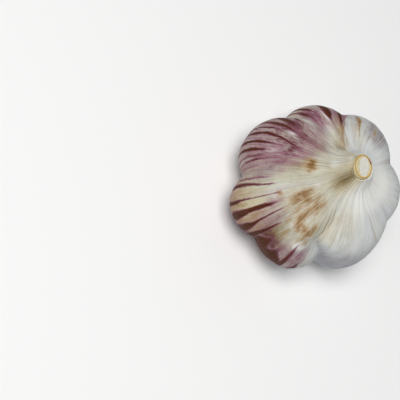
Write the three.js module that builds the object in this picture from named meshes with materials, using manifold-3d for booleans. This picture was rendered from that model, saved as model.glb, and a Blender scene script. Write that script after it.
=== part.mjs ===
// A whole hardneck garlic bulb, trimmed top and bottom: papery skin drawn tight over a ring of cloves,
// the cut flower stalk in its pleated neck, and the corky root plate that it stands on.
// Millimetres, +Z up along the stalk, origin at the centre of the plate's flat underside.

import * as THREE from "three";
import { mergeVertices } from "three/addons/utils/BufferGeometryUtils.js";
import Module from "manifold-3d";

// ---- driving dimensions, in millimetres and degrees ----

const bulbRadius = 30.8;            // at the fattest part of an ordinary clove
const neckRadius = 5.2;             // outside of the collar of skins
const collarHeight = 51.0;
const sheathRise = 1.1;             // of the thin sheath that closes in on the stalk above the collar
const stalkRadius = 4.3;
const stalkHeight = 53.3;           // middle of the cut
const stalkSlope = 14;              // of the cut
const stalkFall = 26;               // the azimuth that the cut falls away to
const stalkFoot = 34.0;             // lower end of the stalk, down between the cloves
const stalkDish = 0.25;             // the soft pith dries a little below its rind
const rindThickness = 0.5;
const fluteCount = 11;              // shallow ribs down the stalk
const fluteDepth = 0.1;
const plateRadius = 8.2;
const plateHeight = 3.9;
const plateWaver = 0.03;            // its outline is this much out of round
const restRadius = 3.6;             // the trimmed flat that the bulb stands on
const gap = 0.35;                   // between one piece and the next

// One clove each: the azimuth of the groove before it, how deep that groove is
// against an ordinary one, and how far the clove swells past an ordinary one.
const cloves = [
  { groove: 34, depth: 0.85, swell: 0.4 },
  { groove: 83, depth: 0.75, swell: 1.4 },
  { groove: 143, depth: 0.9, swell: -0.8 },
  { groove: 180, depth: 1.4, swell: -0.1 },
  { groove: 236, depth: 1.3, swell: 1.0 },
  { groove: 286, depth: 0.55, swell: 0.5 },
  { groove: 336, depth: 1.8, swell: 0.1 },
];
const grooveDepth = 3.4;            // of an ordinary groove, below the clove's crest
const footGrooveDepth = 0.6;        // the same beside the root plate
const grooveRound = 0.1;            // roundness of a groove's bottom, as a share of half a clove
const grooveShape = 2.2;            // a higher power makes fuller cloves and narrower grooves
const grooveFade = { from: 0.56, to: 0.86 };    // shares over which the grooves run out towards the neck
const slant = { azimuth: 320, width: 32, turn: 22, from: 0.45, to: 0.68 };      // of the last groove

// gathers in the skin round the neck, in the outer leaf and in the bare skin beside it
const pleats = { coarse: 13, fine: 29, depth: 0.32, bareDepth: 0.12 };
const tuck = { azimuth: 281, width: 13, depth: 0.9, share: 0.93, reach: 0.05 };  // fold beside the neck
const scrap = { azimuth: 213, width: 42, rise: 2.5 };   // of sheath, standing up against the stalk
const notch = { azimuth: 281, width: 24, drop: 0.5 };   // in the collar, over the tuck
const raggedness = 0.25;            // of the rest of the collar's edge

// The two edges of the outer leaf of skin, as share of the way from root plate to collar, and azimuth.
const leafStart = [
  [0, 142], [0.5, 138], [0.66, 140], [0.78, 151], [0.83, 157], [0.9, 166], [0.95, 178], [1, 195],
];
const leafEnd = [[0, 318], [0.6, 316], [0.8, 312], [1, 304]];
const leafStep = 0.25;              // how far its edges stand proud

const rootCount = 38;               // trimmed root stubs under the plate
const rootRadius = 0.42;
const rootTaper = 0.8;
const rootLean = 0.35;              // outward run for each step down
const rootCut = { least: 0.05, spread: 0.5 };   // height of the cut ends above the rest
const rootSides = 5;
const goldenTurn = 137.508;         // azimuth from each root to the next one out

const skinColumns = 140;
const skinRows = 30;
const stalkColumns = 40;
const plateColumns = 48;

const skinFinish = new THREE.MeshStandardMaterial({ color: 0xcfc8b8, roughness: 0.5, metalness: 0 });
const stalkFinish = new THREE.MeshStandardMaterial({ color: 0xe2dcc8, roughness: 0.7, metalness: 0 });
const rootFinish = new THREE.MeshStandardMaterial({ color: 0xa8906a, roughness: 0.9, metalness: 0 });

// ---- helpers ----

const degrees = Math.PI / 180;

// 0 below one value, 1 above the other, and a smooth rise between them.
function rise(from, to, x) {
  return THREE.MathUtils.smoothstep(x, from, to);
}

// A smooth hill, 1 in the middle.
function hill(x, width) {
  return Math.exp(-(x * x) / (width * width));
}

// The turn from one azimuth to another, between -180 and 180 degrees.
function turn(from, to) {
  return THREE.MathUtils.euclideanModulo(to - from + 180, 360) - 180;
}

// Straight lines through rows of share and azimuth.
function azimuthAt(line, share) {
  const index = Math.min(line.findLastIndex(([start]) => start <= share), line.length - 2);
  const [low, here] = line[index];
  const [high, there] = line[index + 1];
  return THREE.MathUtils.mapLinear(share, low, high, here, there);
}

// A turned solid whose section changes round its axis: place(row, azimuth) gives the
// radius and the height of one point of the profile at one azimuth.
function turned(profile, columns, place) {
  const geometry = new THREE.LatheGeometry(profile, columns, Math.PI / 2).rotateX(Math.PI / 2);
  const points = geometry.attributes.position;
  for (let index = 0; index < points.count; index += 1) {
    const row = index % profile.length;
    const azimuth = (Math.floor(index / profile.length) % columns) * (360 / columns);
    const { x: radius, y: height } = place(row, azimuth);
    const angle = azimuth * degrees;
    points.setXYZ(index, radius * Math.cos(angle), radius * Math.sin(angle), height);
  }
  return geometry;
}

// ---- the skin over the cloves ----

const seatRadius = plateRadius + gap;
const seatHeight = plateHeight + gap;
const socketRadius = stalkRadius + gap;
const socketFloor = stalkFoot - gap;

// The line down the crest of a clove, from the edge of the root plate's seat, out and up to the collar.
const crest = new THREE.SplineCurve([
  new THREE.Vector2(seatRadius, 2.4),
  new THREE.Vector2(11.0, 1.2),
  new THREE.Vector2(15.0, 0.9),
  new THREE.Vector2(21.9, 2.9),
  new THREE.Vector2(27.6, 8.6),
  new THREE.Vector2(bulbRadius, 17.4),
  new THREE.Vector2(bulbRadius - 0.7, 27.4),
  new THREE.Vector2(26.05, 36.1),
  new THREE.Vector2(18.6, 41.2),
  new THREE.Vector2(12.0, 44.1),
  new THREE.Vector2(7.8, 46.8),
  new THREE.Vector2(neckRadius, collarHeight),
]);

// The clove that a place falls on, the next one round, and how far across it the place is:
// -1 and 1 are its two grooves and 0 is its crest.
function cloveAt(share, azimuth) {
  const first = cloves[0].groove;
  const beside = hill(turn(slant.azimuth, azimuth), slant.width);
  const unslanted = azimuth + slant.turn * beside * rise(slant.from, slant.to, share);
  const around = THREE.MathUtils.euclideanModulo(unslanted - first, 360);
  const index = cloves.findLastIndex((clove) => clove.groove - first <= around);
  const clove = cloves[index];
  const next = cloves[(index + 1) % cloves.length];
  const start = clove.groove - first;
  const width = THREE.MathUtils.euclideanModulo(next.groove - clove.groove, 360);
  return { clove, next, across: ((around - start) / width) * 2 - 1 };
}

// 0 on the crest and 1 in the groove, steep beside a rounded bottom.
function grooveSection(across) {
  const full = Math.hypot(1, grooveRound) - grooveRound;
  const climb = (Math.hypot(1 - Math.abs(across), grooveRound) - grooveRound) / full;
  return Math.max(1 - climb, 0) ** grooveShape;
}

// How far inside the outer leaf's nearer edge a place lies, in degrees, below 0 beside the leaf.
function insideLeaf(share, azimuth) {
  const start = azimuthAt(leafStart, share);
  const end = azimuthAt(leafEnd, share);
  return (end - start) / 2 - Math.abs(turn((start + end) / 2, azimuth));
}

// Gathers of two widths, bunched closer here and there, from -1 to 1.
function pleatWave(azimuth) {
  const angle = azimuth * degrees;
  const coarse = Math.sin(pleats.coarse * angle + 1.2 * Math.sin(2 * angle));
  const fine = Math.sin(pleats.fine * angle + 1.5 * Math.sin(3 * angle));
  return 0.55 * coarse + 0.45 * fine;
}

// How far the skin lies inside the crest's line. share is 0 at the root plate and 1 at the collar.
function sink(share, azimuth) {
  const { clove, next, across } = cloveAt(share, azimuth);
  const inside = insideLeaf(share, azimuth);
  const low = rise(0, 0.16, share);
  const fade = rise(grooveFade.from, grooveFade.to, share);
  const depth = grooveDepth * low * (1 - fade) + footGrooveDepth * (1 - low);
  const groove = depth * (across < 0 ? clove : next).depth * grooveSection(across);
  const swell = clove.swell * (1 - across * across) * rise(0, 0.3, share) * (1 - rise(0.6, 0.9, share));
  const gathered = rise(0.7, 0.9, share) * (1 - 0.5 * rise(0.92, 1, share));
  const pleatDepth = THREE.MathUtils.lerp(pleats.bareDepth, pleats.depth, rise(-8, 14, inside));
  const pleat = pleatDepth * pleatWave(azimuth) * gathered;
  const beside = hill(turn(tuck.azimuth, azimuth), tuck.width);
  const fold = tuck.depth * beside * hill(share - tuck.share, tuck.reach);
  const leaf = leafStep * rise(-1.3, 1.3, inside) * rise(0.02, 0.1, share);
  return groove - swell + pleat + fold - leaf;
}

// How far the collar's edge stands above its ordinary height.
function collarRise(azimuth) {
  return scrap.rise * hill(turn(scrap.azimuth, azimuth), scrap.width)
    - notch.drop * hill(turn(notch.azimuth, azimuth), notch.width)
    + raggedness * Math.sin(3 * azimuth * degrees);
}

function makeSkin() {
  const profile = [
    new THREE.Vector2(0, seatHeight),
    new THREE.Vector2(seatRadius, seatHeight),
    ...crest.getSpacedPoints(skinRows),
    new THREE.Vector2(neckRadius - 0.2, collarHeight + sheathRise * 0.6),
    new THREE.Vector2(socketRadius + 0.2, collarHeight + sheathRise),
    new THREE.Vector2(socketRadius, collarHeight + sheathRise - 0.1),
    new THREE.Vector2(socketRadius, socketFloor),
    new THREE.Vector2(0, socketFloor),
  ];
  const firstOuter = 2;
  const lastOuter = firstOuter + skinRows;
  const lastRim = lastOuter + 3;
  return turned(profile, skinColumns, (row, azimuth) => {
    const place = profile[row].clone();
    if (row < firstOuter || row > lastRim) return place;
    const share = Math.min((row - firstOuter) / skinRows, 1);
    const tangent = crest.getTangentAt(share);
    const depth = row <= lastOuter ? sink(share, azimuth) : 0;
    place.x -= tangent.y * depth;
    place.y += tangent.x * depth + collarRise(azimuth) * rise(0.93, 1, share);
    return place;
  });
}

// ---- the cut flower stalk ----

function makeStalk() {
  const pithRadius = stalkRadius - rindThickness;
  const pithHeight = stalkHeight - stalkDish;
  const shoulder = stalkHeight - rindThickness / 2;
  const steps = [0, 0.25, 0.5, 0.75, 1];
  const sides = steps.map((step) => THREE.MathUtils.lerp(stalkFoot, shoulder, step));
  const profile = [
    new THREE.Vector2(0, stalkFoot),
    ...sides.map((height) => new THREE.Vector2(stalkRadius, height)),
    new THREE.Vector2(stalkRadius - rindThickness / 3, stalkHeight),
    new THREE.Vector2(pithRadius, stalkHeight),
    new THREE.Vector2(pithRadius - rindThickness, pithHeight),
    new THREE.Vector2(0, pithHeight),
  ];
  return turned(profile, stalkColumns, (row, azimuth) => {
    const place = profile[row].clone();
    const angle = azimuth * degrees;
    const up = rise(stalkFoot, shoulder, place.y);
    const flute = fluteDepth * (1 + Math.sin(fluteCount * angle)) / 2;
    place.x = Math.max(place.x - flute, 0);
    const fall = Math.cos(angle - stalkFall * degrees) * Math.tan(stalkSlope * degrees);
    place.y -= place.x * fall * up;
    return place;
  });
}

// ---- the root plate ----

function toSolid(wasm, geometry) {
  geometry.deleteAttribute("normal");
  geometry.deleteAttribute("uv");
  const merged = mergeVertices(geometry);
  const vertProperties = new Float32Array(merged.attributes.position.array);
  const triVerts = new Uint32Array(merged.index.array);
  return new wasm.Manifold(new wasm.Mesh({ numProp: 3, vertProperties, triVerts }));
}

function toGeometry(solid) {
  const { vertProperties, triVerts } = solid.getMesh();
  const geometry = new THREE.BufferGeometry();
  geometry.setAttribute("position", new THREE.BufferAttribute(vertProperties, 3));
  geometry.setIndex(new THREE.BufferAttribute(triVerts, 1));
  return geometry;
}

// One trimmed root: it leaves the plate leaning outwards and is cut level.
function makeStub(radius, azimuth, cutHeight) {
  const sunkHeight = plateHeight - rootRadius;
  const length = sunkHeight - cutHeight;
  const stub = new THREE.CylinderGeometry(rootRadius, rootRadius * rootTaper, length, rootSides);
  stub.rotateX(Math.PI / 2);
  stub.applyMatrix4(new THREE.Matrix4().makeShear(0, 0, 0, 0, -rootLean, 0));
  stub.translate(radius, 0, cutHeight + length / 2);
  return stub.rotateZ(azimuth * degrees);
}

function makePlate(wasm) {
  const profile = [
    new THREE.Vector2(0, 0),
    new THREE.Vector2(restRadius, 0),
    new THREE.Vector2(restRadius + 0.7, 0.55),
    new THREE.Vector2(6.3, 1.0),
    new THREE.Vector2(7.7, 1.5),
    new THREE.Vector2(plateRadius, 2.4),
    new THREE.Vector2(plateRadius - 0.2, plateHeight),
    new THREE.Vector2(0, plateHeight),
  ];
  const plate = turned(profile, plateColumns, (row, azimuth) => {
    const place = profile[row].clone();
    place.x *= 1 - plateWaver * (1 + Math.sin(7 * azimuth * degrees)) / 2;
    return place;
  });
  const innerRoot = restRadius + 3 * rootRadius;
  const outerRoot = plateRadius - 2.2 * rootRadius;
  let solid = toSolid(wasm, plate);
  for (let index = 0; index < rootCount; index += 1) {
    const share = (index + 0.5) / rootCount;
    const radius = Math.sqrt(THREE.MathUtils.lerp(innerRoot ** 2, outerRoot ** 2, share));
    const cutHeight = rootCut.least + rootCut.spread * THREE.MathUtils.seededRandom(index + 1);
    solid = solid.add(toSolid(wasm, makeStub(radius, index * goldenTurn, cutHeight)));
  }
  return toGeometry(solid);
}

// ---- the bulb ----

const wasm = await Module();
wasm.setup();

function addPiece(bulb, name, geometry, finish) {
  const mesh = new THREE.Mesh(geometry, finish);
  mesh.name = name;
  bulb.add(mesh);
}

const bulb = new THREE.Group();
addPiece(bulb, "bulb", makeSkin(), skinFinish);
addPiece(bulb, "stalk", makeStalk(), stalkFinish);
addPiece(bulb, "root_plate", makePlate(wasm), rootFinish);

export default bulb;
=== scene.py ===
from math import cos, pi, radians, sin, tan

import bpy
import numpy as np
from mathutils import Matrix, Vector


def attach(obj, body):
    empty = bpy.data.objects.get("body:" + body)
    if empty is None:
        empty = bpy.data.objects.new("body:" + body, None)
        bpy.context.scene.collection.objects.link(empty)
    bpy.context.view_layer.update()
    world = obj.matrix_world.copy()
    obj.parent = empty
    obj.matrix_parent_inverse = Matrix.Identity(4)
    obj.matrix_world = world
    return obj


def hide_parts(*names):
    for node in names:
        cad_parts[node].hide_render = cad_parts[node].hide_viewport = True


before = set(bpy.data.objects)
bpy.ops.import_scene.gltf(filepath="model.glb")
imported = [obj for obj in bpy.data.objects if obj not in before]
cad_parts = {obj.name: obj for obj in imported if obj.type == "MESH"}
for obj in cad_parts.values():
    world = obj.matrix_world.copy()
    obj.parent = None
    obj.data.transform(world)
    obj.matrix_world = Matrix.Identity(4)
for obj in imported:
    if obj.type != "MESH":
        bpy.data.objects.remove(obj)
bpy.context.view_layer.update()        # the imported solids: bulb, stalk and root_plate
scene = bpy.context.scene
MM = 0.001

# ---- sizes of the bulb, in millimetres and degrees ----

BULB_RADIUS = 30.8
NECK_RADIUS = 5.2
COLLAR_HEIGHT = 51.0
STALK_RADIUS = 4.2
STALK_HEIGHT = 53.3
STALK_FOOT = 34.0
STALK_SLOPE = 14.0               # of the cut
STALK_FALL = 26.0                # azimuth that the cut falls away to
STALK_ROWS = 40                  # of points up its side
CUT_ROWS = 18                    # of points across the cut
CUT_DIP = 0.2                    # of the pith below the rind
STALK_RIM = [(0.04, 0.18), (0.12, 0.06), (0.25, 0), (0.42, 0), (0.55, 0.06)]    # inwards and down
FLUTES = 11
FLUTES_FROM = 3.0                # radius that they reach in to
PITH_TURN = 62.0                 # azimuth of the pith's shorter way across
PITH_OFFSET = 0.45
PITH_HALF = (2.15, 3.5)          # half its shorter and its longer way across
SCORCH = (98, 26)                # darkest azimuth of the rind, and its width
PLATE_RADIUS = 8.2
PLATE_HEIGHT = 3.9
REST_RADIUS = 3.6                # of the flat spot that the bulb stands on
PLATE_FOLDS = 7
STUB_COUNT = 96
STUB_RING = (4.7, 7.7)           # radii that the trimmed roots stand between
STUB_RADIUS = 0.36
STUB_LENGTH = 3.0
STUB_TURN = 137.508              # degrees from one stub to the next, which spreads them evenly
STUB_SHORTENING = 0.85
STUB_GAP = 0.02                  # least height above the floor
SMALL_TURN_STEPS = 120           # round the stalk and the root plate
SEAT_RADIUS = 8.55               # of the hollow that the root plate sits in
SEAT_HEIGHT = 4.25

# azimuth of the groove before each clove, its depth against an ordinary one, and the clove's swell in mm
CLOVES = [
    (34, 0.85, 0.4),
    (83, 0.75, 1.4),
    (143, 0.9, -0.8),
    (180, 1.4, -0.1),
    (236, 1.3, 1.0),
    (286, 0.55, 0.5),
    (336, 1.8, 0.1),
]
GROOVE_DEPTH = 3.4
GROOVE_FULL = 0.16               # share by which the grooves are at their full depth
GROOVE_FADE = (0.56, 0.86)       # shares over which they run out towards the neck
SLANT = (320, 32, 22, 0.45, 0.68)        # of the last groove: azimuth, width, degrees, from and to share
FOOT_GROOVE_DEPTH = 0.6
GROOVE_ROUND = 0.1               # of the groove's bottom
GROOVE_SHAPE = 2.2               # more makes it narrower
SWELL_FULL = 0.3                 # as for the grooves
SWELL_FADE = (0.6, 0.9)

# the two edges of the outer leaf of skin, as share and azimuth, and how far it stands proud
LEAF_START = [
    (0, 142), (0.5, 138), (0.66, 140), (0.78, 151), (0.83, 157), (0.9, 166), (0.95, 178), (1, 195),
]
LEAF_END = [(0, 318), (0.6, 316), (0.8, 312), (1, 304)]
LEAF_STEP = 0.25
LEAF_SLOPE = 1.3                 # degrees each side of the edge that the step takes
LEAF_WANDER = 0.8                # degrees

# the gathers of the neck, and the rim of the sheath round the stalk
PLEATS = (13, 29)                # coarse and fine, in the round
PLEAT_FADE = (0.7, 0.9)
PLEAT_DEPTH = 0.12
LEAF_PLEAT_DEPTH = 0.2           # more where the outer leaf covers the neck
TUCK = (281, 13, 0.9, 0.93, 0.05)        # fold beside the neck: azimuth, width, depth, share, reach
SCRAP = (213, 42, 2.5)                   # of sheath standing up the stalk: azimuth, width, rise
NOTCH = (281, 24, 0.5)                   # in its rim: azimuth, width, depth
RAGGED = (0.22, 0.3)                     # fine and coarse unevenness of the rim
RIM_WAVE = 0.25
RISE_FROM = 0.93                         # share from which the skin rises with the rim
SHEATH_PLEAT, SHEATH_DRAWN_IN = 0.05, 0.06
SHEATH_SHARE = 0.012                     # that each row of the sheath adds past the collar

# relief of the skin in millimetres, and how many ribs and veins there are in the round
RIB_HEIGHT, VEIN_HEIGHT, CREASE_HEIGHT, LUMP_HEIGHT = 0.09, 0.2, 0.06, 0.35
RIBS, VEINS = 118, 43

# the crest of a clove as radius and height, from the root plate's seat to the collar
CREST = [
    (SEAT_RADIUS, 2.4), (11.0, 1.2), (15.0, 0.9), (21.9, 2.9), (27.6, 8.6), (BULB_RADIUS, 17.4),
    (BULB_RADIUS - 0.7, 27.4), (26.05, 36.1), (18.6, 41.2), (12.0, 44.1), (7.8, 46.8),
    (NECK_RADIUS, COLLAR_HEIGHT),
]
# the rest of the skin's turned line: over the root plate, round the sheath's lip and down its throat
SKIN_FOOT = [(0, SEAT_HEIGHT), (SEAT_RADIUS - 0.3, SEAT_HEIGHT), (SEAT_RADIUS - 0.1, 3.2)]
SHEATH = [(5.05, 51.45), (4.92, 51.8), (4.8, 52.05), (4.68, 52.2), (4.5, 52.25), (4.3, 52.12)]
LIP_ROWS = 4                     # of the sheath, over which it grows ragged
THROAT = [(4.26, 47.0), (0, 47.0)]
# how far the skin's fibres lean round for each unit of share above LEAN_FROM, by azimuth
LEAN = [
    (0, -20), (10, -30), (45, -10), (85, 0), (125, 10), (145, 30), (165, 15), (185, 40), (212, 32),
    (232, 15), (250, 28), (266, 6), (285, 0), (303, -28), (318, -15), (340, 0), (360, -20),
]
LEAN_FROM, LEAN_TO = 0.4, 0.85
SKIN_ROWS = 188                  # of points from foot to collar
SKIN_STEPS = 480                 # round it
FINE_STEPS = 4001                # along the smooth curve that the rows are spaced out on
MERGE_GAP = 0.002                # between points of a turned piece that become one


# ---- small curves and seeded noise ----

def rise(low, high, x):
    """0 below low, 1 above high and smooth between them."""
    t = np.clip((x - low) / (high - low), 0.0, 1.0)
    return t * t * (3.0 - 2.0 * t)


def hill(x, width):
    """1 at nought, falling away smoothly on both sides."""
    return np.exp(-(x / width) ** 2)


def turn(start, end):
    """Degrees from one azimuth to another, from -180 to 180."""
    return (np.asarray(end) - start + 180.0) % 360.0 - 180.0


def ring_noise(seed, knots, azimuth):
    """Smooth seeded numbers from -1 to 1 round the bulb, with so many knots in the round."""
    values = np.random.default_rng(seed).uniform(-1.0, 1.0, knots)
    place = (np.asarray(azimuth) % 360.0) / 360.0 * knots
    low = np.floor(place).astype(int)
    step = rise(0.0, 1.0, place - low)
    return values[low % knots] * (1.0 - step) + values[(low + 1) % knots] * step


def skin_noise(seed, around, along, azimuth, share):
    """Smooth seeded numbers over the whole skin, with so many knots round it and from foot to collar."""
    values = np.random.default_rng(seed).uniform(-1.0, 1.0, (along + 1, around))
    place = (azimuth % 360.0) / 360.0 * around
    column = np.floor(place).astype(int)
    across = rise(0.0, 1.0, place - column)
    height = np.clip(share, 0.0, 0.9999) * along
    row = np.floor(height).astype(int)
    up = rise(0.0, 1.0, height - row)
    left, right = column % around, (column + 1) % around
    lower = values[row, left] * (1.0 - across) + values[row, right] * across
    upper = values[row + 1, left] * (1.0 - across) + values[row + 1, right] * across
    return lower * (1.0 - up) + upper * up


# ---- camera ----

VIEW_SIZE = 400                  # pixels each way
BULB_PIXEL = (316.5, 187.5)      # where the bulb's middle falls in the view
PIXELS_PER_MM = 2.74
BULB_MIDDLE = Vector((0, 0, 22)) * MM
CAMERA_ELEVATION = radians(56)
CAMERA_ROLL = radians(24)        # the stalk leans this far up from the view's right
CAMERA_DISTANCE = 0.45           # metres
SENSOR = 36.0


def add_camera():
    """Looks down on the bulb from -Y, with the stalk leaning to the view's right."""
    back = Vector((0, -cos(CAMERA_ELEVATION), sin(CAMERA_ELEVATION)))
    up = Vector((0, sin(CAMERA_ELEVATION), cos(CAMERA_ELEVATION)))
    side = Vector((1, 0, 0))
    right = cos(CAMERA_ROLL) * up + sin(CAMERA_ROLL) * side
    top = sin(CAMERA_ROLL) * up - cos(CAMERA_ROLL) * side
    place = BULB_MIDDLE + back * CAMERA_DISTANCE
    off_right = (BULB_PIXEL[0] - VIEW_SIZE / 2) / PIXELS_PER_MM * MM
    off_top = (VIEW_SIZE / 2 - BULB_PIXEL[1]) / PIXELS_PER_MM * MM
    back = (place - (BULB_MIDDLE - off_right * right - off_top * top)).normalized()
    right = (right - back * right.dot(back)).normalized()
    top = back.cross(right)
    lens = bpy.data.cameras.new("camera")
    lens.sensor_width = SENSOR
    lens.lens = PIXELS_PER_MM / MM * CAMERA_DISTANCE / VIEW_SIZE * SENSOR
    lens.clip_start, lens.clip_end = 0.01, 10.0
    camera = bpy.data.objects.new("camera", lens)
    turned = Matrix((right, top, back)).transposed().to_4x4()
    camera.matrix_world = Matrix.Translation(place) @ turned
    scene.collection.objects.link(camera)
    scene.camera = camera
    return right, top, back


VIEW_RIGHT, VIEW_TOP, VIEW_BACK = add_camera()


# ---- modelling helpers ----

def only(piece):
    """Selects one piece and nothing else."""
    bpy.ops.object.select_all(action="DESELECT")
    piece.select_set(True)
    bpy.context.view_layer.objects.active = piece


def apply_modifiers(piece):
    """Turns a piece's modifiers into its mesh."""
    only(piece)
    for modifier in list(piece.modifiers):
        bpy.ops.object.modifier_apply(modifier=modifier.name)


def points_of(piece):
    """A piece's points in metres, one to a row."""
    points = np.empty(len(piece.data.vertices) * 3)
    piece.data.vertices.foreach_get("co", points)
    return points.reshape(-1, 3)


def set_points(piece, points):
    """Moves a piece's points to these places, in metres."""
    piece.data.vertices.foreach_set("co", np.ascontiguousarray(points).ravel())
    piece.data.update()


def lathe(name, profile, steps):
    """A turned piece: one point is drawn out into the profile, which is then spun round the Z axis.
    The profile is radius and height in millimetres, and starts and ends on the axis."""
    bpy.ops.object.select_all(action="DESELECT")
    bpy.ops.mesh.primitive_plane_add(size=MM, location=(0, 0, 0))
    piece = bpy.context.active_object
    piece.name = piece.data.name = name
    bpy.ops.object.mode_set(mode="EDIT")
    bpy.ops.mesh.merge(type="CENTER")
    places = [Vector((radius, 0, height)) * MM for radius, height in profile]
    bpy.ops.transform.translate(value=places[0])
    for here, there in zip(places, places[1:]):
        bpy.ops.mesh.extrude_region_move(TRANSFORM_OT_translate={"value": there - here})
    bpy.ops.mesh.select_all(action="SELECT")
    bpy.ops.mesh.spin(steps=steps, angle=2 * pi, center=(0, 0, 0), axis=(0, 0, 1))
    bpy.ops.mesh.select_all(action="SELECT")
    bpy.ops.mesh.remove_doubles(threshold=MERGE_GAP * MM)
    bpy.ops.mesh.normals_make_consistent(inside=False)
    bpy.ops.object.mode_set(mode="OBJECT")
    bpy.ops.object.shade_smooth()
    return piece


def rows_of(piece, profile):
    """The profile point and the azimuth in degrees that each of a turned piece's points came from."""
    points = points_of(piece) / MM
    radius = np.hypot(points[:, 0], points[:, 1])
    rows = np.zeros(len(points), int)
    nearest = np.full(len(points), np.inf)
    for row, (r, z) in enumerate(profile):
        away = (radius - r) ** 2 + (points[:, 2] - z) ** 2
        closer = away < nearest
        rows[closer] = row
        nearest[closer] = away[closer]
    return rows, np.degrees(np.arctan2(points[:, 1], points[:, 0])) % 360.0


def place_round(piece, radius, height, azimuth):
    """Puts a turned piece's points at these radii and heights, in millimetres."""
    angle = np.radians(azimuth)
    points = np.stack([radius * np.cos(angle), radius * np.sin(angle), height], axis=1)
    set_points(piece, points * MM)


def give(piece, name, values):
    """Stores one number, or one vector, for each point of a piece."""
    kind = "FLOAT" if values.ndim == 1 else "FLOAT_VECTOR"
    layer = piece.data.attributes.new(name, kind, "POINT")
    layer.data.foreach_set("value" if values.ndim == 1 else "vector", values.astype(np.float32).ravel())


# ---- the shape of the skin ----

def crest_line(count):
    """Even steps along the smooth curve through CREST: share, place and outward direction."""
    points = np.array(CREST)
    fine = np.linspace(0, len(points) - 1, FINE_STEPS)
    index = np.minimum(fine.astype(int), len(points) - 2)
    t = (fine - index)[:, None]
    before = points[np.where(index == 0, 0, index - 1)]
    here, there = points[index], points[index + 1]
    after = points[np.minimum(index + 2, len(points) - 1)]
    leave, arrive = (there - before) / 2, (after - here) / 2
    curve = ((2 * here - 2 * there + leave + arrive) * t ** 3
             + (3 * there - 3 * here - 2 * leave - arrive) * t ** 2 + leave * t + here)
    run = np.concatenate([[0], np.cumsum(np.linalg.norm(np.diff(curve, axis=0), axis=1))])
    share = np.linspace(0, 1, count)
    place = np.stack([np.interp(share * run[-1], run, curve[:, k]) for k in (0, 1)], axis=1)
    along = np.gradient(place, axis=0)
    along /= np.linalg.norm(along, axis=1)[:, None]
    return share, place, np.stack([along[:, 1], -along[:, 0]], axis=1)


def cloves_at(share, azimuth):
    """Which clove each place falls on, and how far across it: -1 and 1 are its grooves."""
    first = CLOVES[0][0]
    starts = np.array([groove - first for groove, _, _ in CLOVES] + [360])
    slant = SLANT[2] * hill(turn(SLANT[0], azimuth), SLANT[1]) * rise(SLANT[3], SLANT[4], share)
    around = (azimuth + slant - first) % 360.0
    index = np.clip(np.searchsorted(starts, around, side="right") - 1, 0, len(CLOVES) - 1)
    return index, (around - starts[index]) / (starts[index + 1] - starts[index]) * 2.0 - 1.0


def groove_section(across):
    """0 on the crest and 1 in the groove, steep beside a rounded bottom."""
    full = np.hypot(1.0, GROOVE_ROUND) - GROOVE_ROUND
    climb = (np.hypot(1.0 - np.abs(across), GROOVE_ROUND) - GROOVE_ROUND) / full
    return np.clip(1.0 - climb, 0.0, None) ** GROOVE_SHAPE


def leaf_edges(share, azimuth):
    """Degrees inside the outer leaf's first and second edge, below 0 where the leaf doesn't reach."""
    start = np.interp(share, *zip(*LEAF_START)) + LEAF_WANDER * ring_noise(11, 60, share * 360)
    end = np.interp(share, *zip(*LEAF_END)) + LEAF_WANDER * ring_noise(12, 60, share * 360)
    middle = (start + end) / 2
    place, half = turn(middle, azimuth), (end - start) / 2
    return half + place, half - place


def pleats(azimuth):
    """The gathers of the neck, uneven round it."""
    angle = np.radians(azimuth)
    coarse = np.sin(PLEATS[0] * angle + 1.2 * np.sin(2 * angle))
    fine = np.sin(PLEATS[1] * angle + 1.5 * np.sin(3 * angle))
    return 0.55 * coarse + 0.45 * fine


def sink(share, azimuth):
    """How far the skin lies inside the crest's line, in millimetres."""
    index, across = cloves_at(share, azimuth)
    depths = np.array([depth for _, depth, _ in CLOVES])
    swells = np.array([swell for _, _, swell in CLOVES])
    deep = np.where(across < 0, depths[index], depths[(index + 1) % len(CLOVES)])
    section = groove_section(across)
    low = rise(0, GROOVE_FULL, share)
    groove = GROOVE_DEPTH * low * (1 - rise(*GROOVE_FADE, share)) + FOOT_GROOVE_DEPTH * (1 - low)
    swell = swells[index] * (1 - across ** 2) * rise(0, SWELL_FULL, share) * (1 - rise(*SWELL_FADE, share))
    gathered = rise(*PLEAT_FADE, share) * (1 - 0.5 * rise(0.92, 1, share))
    fold = TUCK[2] * hill(turn(TUCK[0], azimuth), TUCK[1]) * hill(share - TUCK[3], TUCK[4])
    covered = np.minimum(*leaf_edges(share, azimuth))
    gathered = gathered * (PLEAT_DEPTH + LEAF_PLEAT_DEPTH * rise(-8, 14, covered))
    leaf = LEAF_STEP * rise(-LEAF_SLOPE, LEAF_SLOPE, covered) * rise(0.02, 0.1, share)
    return groove * deep * section - swell + pleats(azimuth) * gathered + fold - leaf


def fibre_line(share, azimuth):
    """The azimuth that each fibre has low on the bulb, at every place along it."""
    lean = np.interp(azimuth % 360, *zip(*LEAN))
    return azimuth - lean * (np.clip(share, LEAN_FROM, LEAN_TO) - LEAN_FROM)


def veins(share, azimuth):
    """Fine ribs along the skin, and the slack papery creases between them, in millimetres."""
    wander = fibre_line(share, azimuth) + 1.6 * skin_noise(21, 24, 7, azimuth, share)
    ribs = np.abs(ring_noise(22, RIBS, wander)) ** 0.7
    coarse = ring_noise(23, VEINS, wander) * (0.6 + 0.6 * skin_noise(27, 9, 5, azimuth, share))
    open_skin = rise(0.02, 0.12, share) * (1 - 0.7 * rise(0.78, 1.0, share))
    creases = skin_noise(24, 150, 9, wander, share) * (0.5 + 0.5 * skin_noise(25, 14, 8, azimuth, share))
    lumps = skin_noise(26, 13, 6, azimuth, share)
    return open_skin * (RIB_HEIGHT * ribs + VEIN_HEIGHT * coarse + CREASE_HEIGHT * creases
                        + LUMP_HEIGHT * lumps)


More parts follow.
